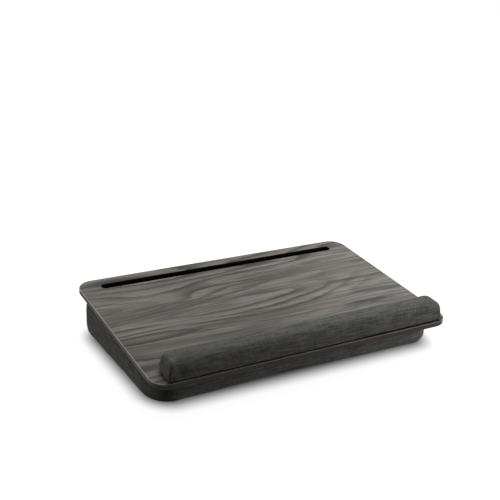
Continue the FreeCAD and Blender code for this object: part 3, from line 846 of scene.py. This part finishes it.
# %% [markdown]
# ## The cushion
# A bead-filled wedge that lifts the back of the board. Its cover has a top panel that lies against the
# board, a bottom panel with a shallow valley between two flats, and one band round the side. A wedge with
# bevelled edges would be quicker, but it would look hard and would have no seams.
# Each row of the band is a share of the height, which grows from front to back, so the rows fan out
# evenly. The rows on both sides of the zip are close together and the ones between them are pushed in,
# which leaves a folded edge round the zip and keeps the form closed.
# It is cut a little smaller than the hard cushion, because filling makes it swell to the full size.

# %% Cushion's sizes
CUSHION_HALF = (0.2682, 0.1568)
CUSHION_MIDDLE = 0.01365
CUSHION_RADII = (0.040, 0.040, 0.040, 0.046)
CUSHION_DEEPEST = 0.040
CUSHION_HEIGHT = 0.06134
TOP_AT_MIDDLE = 0.05993
VALLEY_RADIUS = 1.6925
VALLEY_RISE = 0.005
FRONT_SPAN = (0.09, 0.14)
FRONT_FOOT_OUT = 0.003
FRONT_FOOT_SHARE = 0.35


def top_level(y):
    """Height of the cushion's top plane."""
    return TOP_AT_MIDDLE + (y - BOARD_MIDDLE.y) * math.tan(TILT)


def valley(x):
    """Height of the underside over the floor."""
    return np.maximum(np.sqrt(VALLEY_RADIUS ** 2 - x ** 2) - VALLEY_RADIUS + VALLEY_RISE, 0.0)


def cushion_lift(share):
    """A function that stands a point of the plan at a share of the cushion's height."""
    def lift(p):
        y = p.y + CUSHION_MIDDLE
        # The foot stands a little further out along the front
        y -= FRONT_FOOT_OUT * float(fade(-p.y, *FRONT_SPAN)) * max(0.0, 1 - share / FRONT_FOOT_SHARE)
        return Vector((p.x, y, max(share * top_level(y), float(valley(p.x)))))
    return lift


front_height = top_level(CUSHION_MIDDLE - CUSHION_HALF[1])
back_height = top_level(CUSHION_MIDDLE + CUSHION_HALF[1])
print("cushion is", round(front_height * 1000, 1), "to", round(back_height * 1000, 1), "mm tall")

# %% Cushion's rows and stations
PANEL_INSETS = (0.040, 0.034, 0.028, 0.0225, 0.018)
FOOT_ANGLES = (0, 16, 32, 44, 48.4, 53, 64, 77, 90)
FOOT_IN = 0.015
FOOT_UP = 0.022
SEAM_ANGLE = 48.4
SEAM_TUCK = 0.0012
ZIP_HALF = 0.190
ZIP_ROWS = (0.4363, 0.4427, 0.5, 0.5573, 0.5637)
TOP_ROLL_IN = 0.004
TOP_ROLL_DOWN = 0.022
TOP_INSETS = (0.006, 0.010, 0.016, 0.023, 0.031, 0.040)


def foot_round(angle):
    """How far the rounded foot is drawn in at an angle, and its share of the height there."""
    bend = math.radians(angle)
    return FOOT_IN * (1 - math.sin(bend)), FOOT_UP / CUSHION_HEIGHT * (1 - math.cos(bend))


def cushion_profile():
    """How far each ring is drawn in and its share of the height, from the bottom panel to the top."""
    rows = [(inset, 0) for inset in PANEL_INSETS]
    for angle in FOOT_ANGLES:
        inset, share = foot_round(angle)
        rows.append((inset + (SEAM_TUCK if angle == SEAM_ANGLE else 0), share))
    rows += [(0, share) for share in (0.4, *ZIP_ROWS, 0.6)]
    for share in (0, 0.25, 0.5, 0.75, 0.95, 1):
        rows.append((TOP_ROLL_IN * share ** 2, 1 - TOP_ROLL_DOWN / CUSHION_HEIGHT * (1 - share)))
    return rows + [(inset, 1) for inset in TOP_INSETS]


# Two stations stand close together at each end of the zip
straight = CUSHION_HALF[0] - CUSHION_DEEPEST
long_stations = np.linspace(0, 1, 97)
for edge in (-ZIP_HALF, ZIP_HALF):
    nearest = np.argsort(np.abs((2 * long_stations - 1) * straight - edge))[:2]
    long_stations[np.sort(nearest)] = (np.array((edge - 0.0005, edge + 0.0005)) / straight + 1) / 2
CUSHION_STATIONS = (long_stations, np.linspace(0, 1, 49))
cushion_rows = cushion_profile()
print("cushion has", len(cushion_rows), "rings and", len(long_stations), "stations along its front")

# %% Cushion's rings and flat pattern
BOTTOM_SEAM = len(PANEL_INSETS) + FOOT_ANGLES.index(SEAM_ANGLE)
TOP_SEAM = len(cushion_rows) - len(TOP_INSETS) - 1
cushion = PadPattern()
rings = []
plans = []
for inset, share in cushion_rows:
    plan = inset_ring(CUSHION_HALF, CUSHION_RADII, CUSHION_DEEPEST, inset, CUSHION_STATIONS)
    rings.append(cushion.add_points([cushion_lift(share)(p) for p in plan]))
    plans.append(plan + plan[:1])
outline = plans[TOP_SEAM]
along = [0.0]
for start, end in zip(outline, outline[1:]):
    along.append(along[-1] + (end - start).length)
up_band = 0.0
for k in range(len(rings) - 1):
    rise = math.hypot(cushion_rows[k + 1][0] - cushion_rows[k][0],
                      (cushion_rows[k + 1][1] - cushion_rows[k][1]) * CUSHION_HEIGHT)
    if BOTTOM_SEAM <= k < TOP_SEAM:
        flat_lower = [(s, up_band) for s in along]
        up_band += rise
        flat_upper = [(s, up_band) for s in along]
    else:
        flat_lower = plans[k]
        flat_upper = plans[k + 1]
    cushion.ring_band(rings[k], rings[k + 1], flat_lower, flat_upper)
middle_half = (CUSHION_HALF[0] - CUSHION_DEEPEST, CUSHION_HALF[1] - CUSHION_DEEPEST)
grid, grid_faces = plan_grid(middle_half, CUSHION_STATIONS)
cushion.add_grid(grid, grid_faces, cushion_lift(0), upward=False)
cushion.add_grid(grid, grid_faces, cushion_lift(1), upward=True)
print("cushion's band:", round(along[-1], 3), "m long,", round(up_band * 1000, 1), "mm tall in the middle")

# %% Cushion, filled
HELD_TOP = 0.97
HELD_FOOT = 0.0008
BACK_FROM = 0.16
ZIP_MARGIN = 0.012
ZIP_SHARE = 0.12
cushion_cover = cushion.build("cushion_cover")
cut = points_of(cushion_cover.data)
share = cut[:, 2] / top_level(cut[:, 1])
near_zip = (cut[:, 1] > BACK_FROM) & (np.abs(cut[:, 0]) < ZIP_HALF + ZIP_MARGIN)
near_zip &= np.abs(share - 0.5) < ZIP_SHARE
on_floor = cut[:, 2] < valley(cut[:, 0]) + HELD_FOOT
held = np.where((share > HELD_TOP) | on_floor | near_zip, 1.0, 0.0)
filled = swell(cushion_cover, held, pressure=4.0, most=0.003, slack=0.004)
print("cushion has", len(cushion_cover.data.polygons), "faces")

# %% Zip recess and crowned top
RECESS_PLACE = 0.1676
RECESS_SHARES = (0.44, 0.56)
CROWN = 0.0021
# Up to the first distance the panel stays down, and from the second on it is fully raised
KEPT_AT_EDGE = (0.004, 0.018)
KEPT_AT_STRIP = (0.004, 0.022)
at_back = cut[:, 1] > CUSHION_HALF[1] + CUSHION_MIDDLE - 0.0004
in_window = at_back & (np.abs(cut[:, 0]) < ZIP_HALF)
in_window &= (share > RECESS_SHARES[0]) & (share < RECESS_SHARES[1])
filled[in_window, 1] = RECESS_PLACE
# The filling lifts the top panel against the board, and the four loop strips hold it down
strips = points_of(hard["loop_strips"].data)
strip_middle = strips.mean(axis=0)
lift = fade(CUSHION_HALF[0] - np.abs(cut[:, 0]), *KEPT_AT_EDGE)
lift *= fade(CUSHION_HALF[1] - np.abs(cut[:, 1] - CUSHION_MIDDLE), *KEPT_AT_EDGE)
for side, end in CORNERS:
    quarter = strips[(side * strips[:, 0] > 0) & (end * (strips[:, 1] - strip_middle[1]) > 0)]
    beyond = np.maximum(quarter.min(axis=0) - cut, cut - quarter.max(axis=0))[:, :2].max(axis=1)
    lift *= fade(np.maximum(beyond, 0), *KEPT_AT_STRIP)
filled[:, 2] += CROWN * lift * (share > 0.995)
print("points pushed in behind the zip:", int(in_window.sum()))

# %% Cushion's drawn-up foot
DRAWN_PLACE = -0.03
DRAWN_WIDTH = 0.10
DRAWN_BACK = 0.0040
DRAWN_UP = 0.0028
# The middle of the front foot is drawn up and back
low_down = 1 - fade(share, 0.02, 0.45)
drawn = fade(-cut[:, 1], *FRONT_SPAN) * low_down * bell(cut[:, 0] - DRAWN_PLACE, DRAWN_WIDTH)
filled[:, 1] += DRAWN_BACK * drawn
filled[:, 2] += DRAWN_UP * drawn
move_points(cushion_cover, filled)
smooth_finish(cushion_cover, cloth)
print("front foot is drawn up by", round(float(drawn.max()) * DRAWN_UP * 1000, 1), "mm")

# %% [markdown]
# ## Rows that follow a path
# Stitches and zip teeth are the same small shape again and again along a line. They could be copied in a
# loop, but a node tree does it with a few named sizes: it walks along a path in even steps, stands the
# small shape on the surface there, may turn every other one, and adds a little unevenness.
# The tree's result is then made a plain mesh, so nothing depends on the tree afterwards.

# %% Node tree for a row
def row_tree():
    """A tree that sets a small shape along a path."""
    tree = bpy.data.node_groups.new("row_along_path", "GeometryNodeTree")
    tree.interface.new_socket("Path", in_out="INPUT", socket_type="NodeSocketGeometry")
    for name, kind in (("Shape", "Object"), ("Pitch", "Float"), ("Turn", "Float"), ("Unevenness", "Float"),
                       ("Seed", "Int"), ("Finish", "Material")):
        tree.interface.new_socket(name, in_out="INPUT", socket_type="NodeSocket" + kind)
    tree.interface.new_socket("Row", in_out="OUTPUT", socket_type="NodeSocketGeometry")
    given = add(tree, "NodeGroupInput").outputs
    curve = add(tree, "GeometryNodeMeshToCurve", None, {"Mesh": given["Path"]}).outputs[0]
    steps = add(tree, "GeometryNodeResampleCurve", {"mode": "LENGTH"},
                {"Curve": curve, "Length": given["Pitch"]}).outputs[0]
    out = add(tree, "GeometryNodeInputNamedAttribute", {"data_type": "FLOAT_VECTOR"},
              {"Name": "out"}).outputs[0]
    standing = add(tree, "FunctionNodeAlignRotationToVector", {"axis": "Z"}, {"Vector": out}).outputs[0]
    tangent = add(tree, "GeometryNodeInputTangent").outputs[0]
    along_path = add(tree, "FunctionNodeAlignRotationToVector", {"axis": "X", "pivot_axis": "Z"},
                     {"Rotation": standing, "Vector": tangent}).outputs[0]
    number = add(tree, "GeometryNodeInputIndex").outputs[0]
    every_other = math_of(tree, "MULTIPLY", math_of(tree, "MODULO", number, 2.0), given["Turn"])
    least = math_of(tree, "MULTIPLY", given["Unevenness"], -1.0)
    chance = add(tree, "FunctionNodeRandomValue", {"data_type": "FLOAT"},
                 {2: least, 3: given["Unevenness"], "Seed": given["Seed"]}).outputs[1]
    swing = add(tree, "ShaderNodeCombineXYZ", None,
                {"Z": math_of(tree, "ADD", every_other, chance)}).outputs[0]
    swing = add(tree, "FunctionNodeEulerToRotation", None, {0: swing}).outputs[0]
    turned = add(tree, "FunctionNodeRotateRotation", {"rotation_space": "LOCAL"},
                 {"Rotation": along_path, "Rotate By": swing}).outputs[0]
    shape = add(tree, "GeometryNodeObjectInfo", None, {"Object": given["Shape"]}).outputs["Geometry"]
    placed = add(tree, "GeometryNodeInstanceOnPoints", None,
                 {"Points": steps, "Instance": shape, "Rotation": turned}).outputs[0]
    real = add(tree, "GeometryNodeRealizeInstances", None, {"Geometry": placed}).outputs[0]
    dressed = add(tree, "GeometryNodeSetMaterial", None,
                  {"Geometry": real, "Material": given["Finish"]}).outputs[0]
    add(tree, "NodeGroupOutput", None, {"Row": dressed})
    return tree


row_nodes = row_tree()
print("row tree has", len(row_nodes.nodes), "nodes")

# %% From paths to plain meshes
def path_mesh(name, paths):
    """Lines through points with a direction out of the surface, closed where the list says so."""
    points = []
    outs = []
    edges = []
    for places, closed in paths:
        first = len(points)
        points += [place for place, _ in places]
        outs += [out for _, out in places]
        edges += [(first + k, first + k + 1) for k in range(len(places) - 1)]
        if closed:
            edges.append((len(points) - 1, first))
    mesh = bpy.data.meshes.new(name)
    mesh.from_pydata(points, edges, [])
    stored = mesh.attributes.new("out", "FLOAT_VECTOR", "POINT")
    stored.data.foreach_set("vector", [value for out in outs for value in out])
    return mesh


def make_row(name, paths, shape_mesh, pitch, turn_of_other, unevenness, seed, finish):
    """One plain mesh with the small shape set along the paths."""
    shape = bpy.data.objects.new(name + "_shape", shape_mesh)
    row = bpy.data.objects.new(name, path_mesh(name + "_path", paths))
    scene.collection.objects.link(row)
    maker = row.modifiers.new("row", "NODES")
    maker.node_group = row_nodes
    sizes = {"Shape": shape, "Pitch": pitch, "Turn": turn_of_other, "Unevenness": unevenness, "Seed": seed,
             "Finish": finish}
    for socket in row_nodes.interface.items_tree:
        if socket.name in sizes:
            maker[socket.identifier] = sizes[socket.name]
    finished = row.evaluated_get(bpy.context.evaluated_depsgraph_get())
    mesh = bpy.data.meshes.new_from_object(finished)
    row.modifiers.remove(maker)
    row.data = mesh
    bpy.data.objects.remove(shape)
    return row


row_inputs = [socket.name.lower() for socket in row_nodes.interface.items_tree if socket.in_out == "INPUT"]
print("rows are made with", ", ".join(row_inputs))

# %% [markdown]
# ## Stitches
# The bottom panel is sewn to the band and topstitched just above the seam, and the cloth round the zip is
# stitched down to its tapes. A dashed line in the cloth's finish would show them from afar, but a thread
# that stands on the cloth catches light. The paths are laid a little off the cushion and then dropped onto
# its finished surface, which also gives the direction that each stitch stands on.

# %% Thread and its finish
STITCH_HALF = 0.00145
THREAD_RADIUS = 0.00026
THREAD_RISE = 0.0003
# Along the stitch, in halves of its length: how high the thread lies and how thick it is
THREAD_SECTIONS = ((-1.0, -0.55, 0.55), (-0.72, 0.25, 0.95), (0, 0.45, 1), (0.72, 0.25, 0.95),
                   (1.0, -0.55, 0.55))
THREAD_SIDES = 6


def thread_shape():
    """One stitch: a short six-sided thread whose ends dip into the cloth."""
    shape = bmesh.new()
    sections = []
    for along_x, rise, thickness in THREAD_SECTIONS:
        ring = []
        for k in range(THREAD_SIDES):
            angle = math.radians(360 / THREAD_SIDES * k)
            place = (along_x * STITCH_HALF, math.cos(angle) * THREAD_RADIUS * thickness,
                     rise * THREAD_RISE + math.sin(angle) * THREAD_RADIUS * thickness)
            ring.append(shape.verts.new(place))
        sections.append(ring)
    for first, second in zip(sections, sections[1:]):
        for k in range(THREAD_SIDES):
            shape.faces.new((first[k], first[k - 1], second[k - 1], second[k]))
    shape.faces.new(sections[0])
    shape.faces.new(sections[-1][::-1])
    bmesh.ops.recalc_face_normals(shape, faces=shape.faces)
    mesh = bpy.data.meshes.new("stitch")
    shape.to_mesh(mesh)
    shape.free()
    mesh.shade_smooth()
    return mesh


def thread_finish():
    """Spun thread, a little fuzzy and uneven in tone."""
    finish, tree, shader = new_finish("charcoal_thread", roughness=0.7, sheen_weight=0.2)
    place = place_of(tree)
    fuzz = noise(tree, place, 1900.0, 3, 0.6)
    mixed = in_shares(tree, fuzz, 0.6, noise(tree, place, 60.0, 2), 0.4)
    paint(tree, shader, blend(tree, spread(tree, mixed, 0.35, 0.65), grey(40, 40, 39), grey(88, 88, 85)))
    raise_surface(tree, shader, fuzz, 0.00008, 0.7)
    return finish


stitch_mesh = thread_shape()
print("one stitch has", len(stitch_mesh.polygons), "faces")

# %% Stitch rows on the finished cushion
STITCH_PITCH = 0.0038
STITCH_UNEVENNESS = 0.06
STITCH_SEED = 7
STITCH_ANGLE = 58
ZIP_WINDOW_HALF = 0.0050
ZIP_HEIGHT = 0.03925
FROM_WINDOW = 0.0028
WINDOW_CORNER = 0.002
OFF_CLOTH = 0.002
BEHIND_CUSHION = 0.1712


def surface_of(piece):
    """A search tree of a piece's finished surface."""
    finished = piece.evaluated_get(bpy.context.evaluated_depsgraph_get())
    mesh = finished.to_mesh()
    tree = BVHTree.FromPolygons([v.co.copy() for v in mesh.vertices], [p.vertices[:] for p in mesh.polygons])
    finished.to_mesh_clear()
    return tree


def dropped(surface, points):
    """Each point moved to the nearest place on a surface, with the direction out of it."""
    return [surface.find_nearest(p)[:2] for p in points]


cushion_surface = surface_of(cushion_cover)
stitch_inset, stitch_share = foot_round(STITCH_ANGLE)
seam_plan = inset_ring(CUSHION_HALF, CUSHION_RADII, CUSHION_DEEPEST, stitch_inset - OFF_CLOTH,
                       CUSHION_STATIONS)
seam_path = dropped(cushion_surface, [cushion_lift(stitch_share)(p) for p in seam_plan])
window_half = (ZIP_HALF + FROM_WINDOW, ZIP_WINDOW_HALF + FROM_WINDOW)
window_plan = plan_ring(window_half, [WINDOW_CORNER] * 4, (np.linspace(0, 1, 121), np.linspace(0, 1, 9)))
window_points = [Vector((p.x, BEHIND_CUSHION, ZIP_HEIGHT + p.y)) for p in window_plan]
window_path = dropped(cushion_surface, window_points)
stitches = make_row("cushion_stitches", [(seam_path, True), (window_path, True)], stitch_mesh, STITCH_PITCH,
                    0.0, STITCH_UNEVENNESS, STITCH_SEED, thread_finish())
print("stitches:", len(stitches.data.polygons) // len(stitch_mesh.polygons))

# %% [markdown]
# ## The zip's teeth
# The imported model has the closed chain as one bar, because hundreds of teeth would help no check. Here the
# bar is replaced by its teeth, which come in turn from the upper and the lower tape and meet in the
# middle. They could be two rows, one for each tape, but one row in which every other tooth is turned
# round keeps them in step.

# %% Tooth and hard finish
TOOTH_SIZE = (0.00084, 0.0029, 0.0015)
TOOTH_SHIFT = -0.00075
SHANK_STARTS = -0.001
SHANK_WIDTH = 0.82
SHANK_HEIGHT = 0.9
TOOTH_BEVEL = 0.00016


def tooth_shape():
    """A bevelled tooth with a narrow shank and a wider head that reaches past the middle."""
    shape = bmesh.new()
    bmesh.ops.create_cube(shape, size=1.0)
    bmesh.ops.scale(shape, verts=shape.verts, vec=TOOTH_SIZE)
    bmesh.ops.translate(shape, verts=shape.verts, vec=(0, TOOTH_SHIFT, 0))
    for corner in shape.verts:
        if corner.co.y < SHANK_STARTS:
            corner.co.x *= SHANK_WIDTH
            corner.co.z *= SHANK_HEIGHT
    bmesh.ops.bevel(shape, geom=shape.edges[:], offset=TOOTH_BEVEL, segments=1, affect="EDGES")
    mesh = bpy.data.meshes.new("tooth")
    shape.to_mesh(mesh)
    shape.free()
    return mesh


def hard_finish(name, dark, light, metallic, rough, cloudiness):
    """A moulded or cast finish: cloudy tone, fine scratches and rubbed, brighter edges."""
    finish, tree, shader = new_finish(name, metallic=metallic, specular_ior_level=0.5)
    place = place_of(tree)
    scratch = streaks(tree, place, (90, 900, 2200), 3, 0.6)
    bend_here = add(tree, "ShaderNodeNewGeometry").outputs["Pointiness"]
    rubbed = math_of(tree, "MULTIPLY", spread(tree, bend_here, 0.5, 0.62), 0.5)
    mixed = in_shares(tree, noise(tree, place, cloudiness, 4, 0.6), 0.7, scratch, 0.3)
    colour = blend(tree, spread(tree, mixed, 0.35, 0.65), dark, light)
    colour = blend(tree, rubbed, colour, tuple(min(1.0, v * 1.9) for v in light))
    paint(tree, shader, colour, spread(tree, scratch, 0.3, 0.7, rough - 0.08, rough + 0.1))
    raise_surface(tree, shader, scratch, 0.00004, 0.5)
    return finish


tooth_mesh = tooth_shape()
print("one tooth has", len(tooth_mesh.polygons), "faces")

# %% Row of teeth
TOOTH_PITCH = 0.00124
TOOTH_SEED = 1
END_GAP = 0.0006
chain_low, chain_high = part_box("zip_chain")
chain_middle = (chain_low + chain_high) / 2
teeth_path = [(Vector((x, chain_middle.y, chain_middle.z)), Vector((0, 1, 0)))
              for x in np.linspace(chain_low.x + END_GAP, chain_high.x - END_GAP, 40)]
teeth_finish = hard_finish("zip_teeth_black", grey(26, 26, 27), grey(52, 52, 53), 0.0, 0.42, 900.0)
teeth = make_row("zip_teeth", [(teeth_path, False)], tooth_mesh, TOOTH_PITCH, math.pi, 0.0, TOOTH_SEED,
                 teeth_finish)
print("teeth:", len(teeth.data.polygons) // len(tooth_mesh.polygons))

# %% [markdown]
# ## Tapes, strips and metal
# The zip's tapes and the hook and loop strips under the board are woven bands, and the slider, its pull
# and the stops are dull grey metal. They are right as they are and only get finishes.
# Hooks and loops could be made one by one, but they are hidden between the board and the cushion, so a
# deeper relief of the same webbing stands for them.

# %% Webbing and gunmetal
def webbing(name, dark, light, pitch, fuzz_depth):
    """Close-woven tape with a herringbone, or a mat of hooks or loops where the relief is deeper."""
    finish, tree, shader = new_finish(name, roughness=0.85, specular_ior_level=0.25, sheen_weight=0.15)
    place = place_of(tree)
    slant = waves(tree, place, "DIAGONAL", pitch)
    back_slant = waves(tree, stretched(tree, place, (-1, 1, 1)), "DIAGONAL", pitch)
    woven = math_of(tree, "MAXIMUM", slant, back_slant)
    mixed = in_shares(tree, woven, 0.35, noise(tree, place, 1500.0, 4, 0.65), 0.65)
    paint(tree, shader, blend(tree, spread(tree, mixed, 0.3, 0.75), dark, light))
    raise_surface(tree, shader, mixed, fuzz_depth, 0.8)
    return finish


zip_webbing = webbing("zip_webbing", grey(24, 24, 25), grey(56, 56, 57), 0.0008, 0.0002)
for node in ("zip_tape_upper", "zip_tape_lower"):
    dress(node, zip_webbing)
dress("hook_strips", webbing("hook_tape", grey(16, 16, 16), grey(48, 48, 48), 0.0014, 0.0006))
dress("loop_strips", webbing("loop_tape", grey(20, 20, 20), grey(66, 66, 65), 0.0010, 0.0005))
gunmetal = hard_finish("zip_gunmetal", grey(92, 92, 95), grey(142, 142, 145), 1.0, 0.36, 260.0)
for node in ("zip_stops", "zip_slider", "zip_pull"):
    dress(node, gunmetal)
print("finishes:", len([m for m in bpy.data.materials if m.users]))

# %% [markdown]
# ## What rides and what is replaced
# The pads and the teeth stand for hard pieces that hold their place in the imported model, and the stitches
# are extra. All of them ride on the tray, because only the slider and its pull move.

# %% Bodies and hidden pieces
for made, slot_name in ((wrist_pad, "charcoal_fabric"), (cushion_cover, "charcoal_fabric"),
                        (stitches, "charcoal_fabric"), (teeth, "zip_teeth")):
    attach(made, "tray")
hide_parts("wrist_rest_cover", "wrist_rest_foam")
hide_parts("cushion_top_panel", "cushion_side_band", "cushion_bottom_panel", "inner_bag",
            "bead_fill")
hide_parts("zip_chain")
